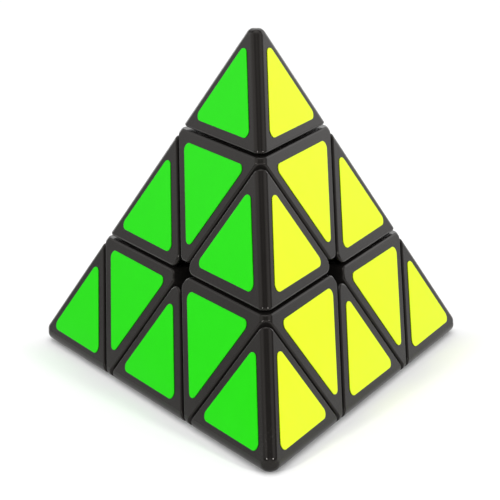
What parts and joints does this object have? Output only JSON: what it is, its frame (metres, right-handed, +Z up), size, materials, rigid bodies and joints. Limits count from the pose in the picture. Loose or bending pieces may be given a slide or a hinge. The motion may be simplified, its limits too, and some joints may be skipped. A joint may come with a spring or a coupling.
{
  "type": "pyramid twisty puzzle",
  "caption": "Pyramid-shaped twisty puzzle with turning corner layers and free tips: black plastic pieces with coloured triangular stickers, standing on one face.",
  "frame": {"origin": "centre of the base face, on the plane of its stickers, straight below the apex", "axes": "+Z up through the apex; -Y towards the front corner of the base; +X to the right, seen from the front"},
  "size_m": [0.0978, 0.0855, 0.0808],
  "materials": {
    "black_plastic": "semi-gloss moulded black plastic",
    "inner_plastic": "plain moulded plastic, slightly greased",
    "steel": "zinc-plated steel",
    "sticker_vinyl": "glossy vinyl film, one colour on each face",
    "sticker_green": "glossy green vinyl film",
    "sticker_yellow": "glossy yellow vinyl film",
    "sticker_red": "glossy red vinyl film",
    "sticker_blue": "glossy blue vinyl film"
  },
  "bodies": {
    "core": {"core_spider": "inner_plastic", "screw_top": "steel", "screw_front": "steel", "screw_left": "steel", "screw_right": "steel", "washer_top": "steel", "washer_front": "steel", "washer_left": "steel", "washer_right": "steel", "spring_top": "steel", "spring_front": "steel", "spring_left": "steel", "spring_right": "steel"},
    "axial_top": {"axial_foot_top": "inner_plastic", "axial_shell_top": "black_plastic", "axial_stickers_top": "sticker_vinyl"},
    "tip_top": {"tip_base_top": "inner_plastic", "tip_cap_top": "black_plastic", "tip_stickers_top": "sticker_vinyl"},
    "axial_front": {"axial_foot_front": "inner_plastic", "axial_shell_front": "black_plastic", "axial_stickers_front": "sticker_vinyl"},
    "tip_front": {"tip_base_front": "inner_plastic", "tip_cap_front": "black_plastic", "tip_stickers_front": "sticker_vinyl"},
    "axial_left": {"axial_foot_left": "inner_plastic", "axial_shell_left": "black_plastic", "axial_stickers_left": "sticker_vinyl"},
    "tip_left": {"tip_base_left": "inner_plastic", "tip_cap_left": "black_plastic", "tip_stickers_left": "sticker_vinyl"},
    "axial_right": {"axial_foot_right": "inner_plastic", "axial_shell_right": "black_plastic", "axial_stickers_right": "sticker_vinyl"},
    "tip_right": {"tip_base_right": "inner_plastic", "tip_cap_right": "black_plastic", "tip_stickers_right": "sticker_vinyl"},
    "edge_top_front": {"edge_foot_top_front": "inner_plastic", "edge_shell_top_front": "black_plastic", "edge_stickers_top_front": "sticker_vinyl"},
    "edge_top_left": {"edge_foot_top_left": "inner_plastic", "edge_shell_top_left": "black_plastic", "edge_stickers_top_left": "sticker_vinyl"},
    "edge_top_right": {"edge_foot_top_right": "inner_plastic", "edge_shell_top_right": "black_plastic", "edge_stickers_top_right": "sticker_vinyl"},
    "edge_front_left": {"edge_foot_front_left": "inner_plastic", "edge_shell_front_left": "black_plastic", "edge_stickers_front_left": "sticker_vinyl"},
    "edge_front_right": {"edge_foot_front_right": "inner_plastic", "edge_shell_front_right": "black_plastic", "edge_stickers_front_right": "sticker_vinyl"},
    "edge_left_right": {"edge_foot_left_right": "inner_plastic", "edge_shell_left_right": "black_plastic", "edge_stickers_left_right": "sticker_vinyl"}
  },
  "joints": [
    {"name": "layer_top", "type": "hinge", "parent": "core", "child": "axial_top", "pos_m": [0, 0, 0.02143], "axis": [0, 0, 1], "range_deg": [-120, 240]},
    {"name": "layer_front", "type": "hinge", "parent": "core", "child": "axial_front", "pos_m": [0, 0, 0.02143], "axis": [0, -0.9428, -0.3333], "range_deg": [-120, 240]},
    {"name": "layer_left", "type": "hinge", "parent": "core", "child": "axial_left", "pos_m": [0, 0, 0.02143], "axis": [-0.8165, 0.4714, -0.3333], "range_deg": [-120, 240]},
    {"name": "layer_right", "type": "hinge", "parent": "core", "child": "axial_right", "pos_m": [0, 0, 0.02143], "axis": [0.8165, 0.4714, -0.3333], "range_deg": [-120, 240]},
    {"name": "tip_turn_top", "type": "hinge", "parent": "axial_top", "child": "tip_top", "pos_m": [0, 0, 0.05743], "axis": [0, 0, 1], "continuous": true},
    {"name": "tip_turn_front", "type": "hinge", "parent": "axial_front", "child": "tip_front", "pos_m": [0, -0.03394, 0.00943], "axis": [0, -0.9428, -0.3333], "continuous": true},
    {"name": "tip_turn_left", "type": "hinge", "parent": "axial_left", "child": "tip_left", "pos_m": [-0.02939, 0.01697, 0.00943], "axis": [-0.8165, 0.4714, -0.3333], "continuous": true},
    {"name": "tip_turn_right", "type": "hinge", "parent": "axial_right", "child": "tip_right", "pos_m": [0.02939, 0.01697, 0.00943], "axis": [0.8165, 0.4714, -0.3333], "continuous": true},
    {"name": "edge_carry_top_front", "type": "hinge", "parent": "axial_top", "child": "edge_top_front", "pos_m": [0, 0, 0.02143], "axis": [0, -0.9428, -0.3333], "range_deg": [-120, 240]},
    {"name": "edge_carry_top_left", "type": "hinge", "parent": "axial_top", "child": "edge_top_left", "pos_m": [0, 0, 0.02143], "axis": [-0.8165, 0.4714, -0.3333], "range_deg": [-120, 240]},
    {"name": "edge_carry_top_right", "type": "hinge", "parent": "axial_top", "child": "edge_top_right", "pos_m": [0, 0, 0.02143], "axis": [0.8165, 0.4714, -0.3333], "range_deg": [-120, 240]},
    {"name": "edge_carry_front_left", "type": "hinge", "parent": "axial_front", "child": "edge_front_left", "pos_m": [0, 0, 0.02143], "axis": [-0.8165, 0.4714, -0.3333], "range_deg": [-120, 240]},
    {"name": "edge_carry_front_right", "type": "hinge", "parent": "axial_right", "child": "edge_front_right", "pos_m": [0, 0, 0.02143], "axis": [0, -0.9428, -0.3333], "range_deg": [-120, 240]},
    {"name": "edge_carry_left_right", "type": "hinge", "parent": "axial_left", "child": "edge_left_right", "pos_m": [0, 0, 0.02143], "axis": [0.8165, 0.4714, -0.3333], "range_deg": [-120, 240]}
  ],
  "couplings": [
    {"joint": "edge_carry_top_front", "follows": "layer_front", "ratio": 1},
    {"joint": "edge_carry_top_left", "follows": "layer_left", "ratio": 1},
    {"joint": "edge_carry_top_right", "follows": "layer_right", "ratio": 1},
    {"joint": "edge_carry_front_left", "follows": "layer_left", "ratio": 1},
    {"joint": "edge_carry_front_right", "follows": "layer_front", "ratio": 1},
    {"joint": "edge_carry_left_right", "follows": "layer_right", "ratio": 1}
  ]
}
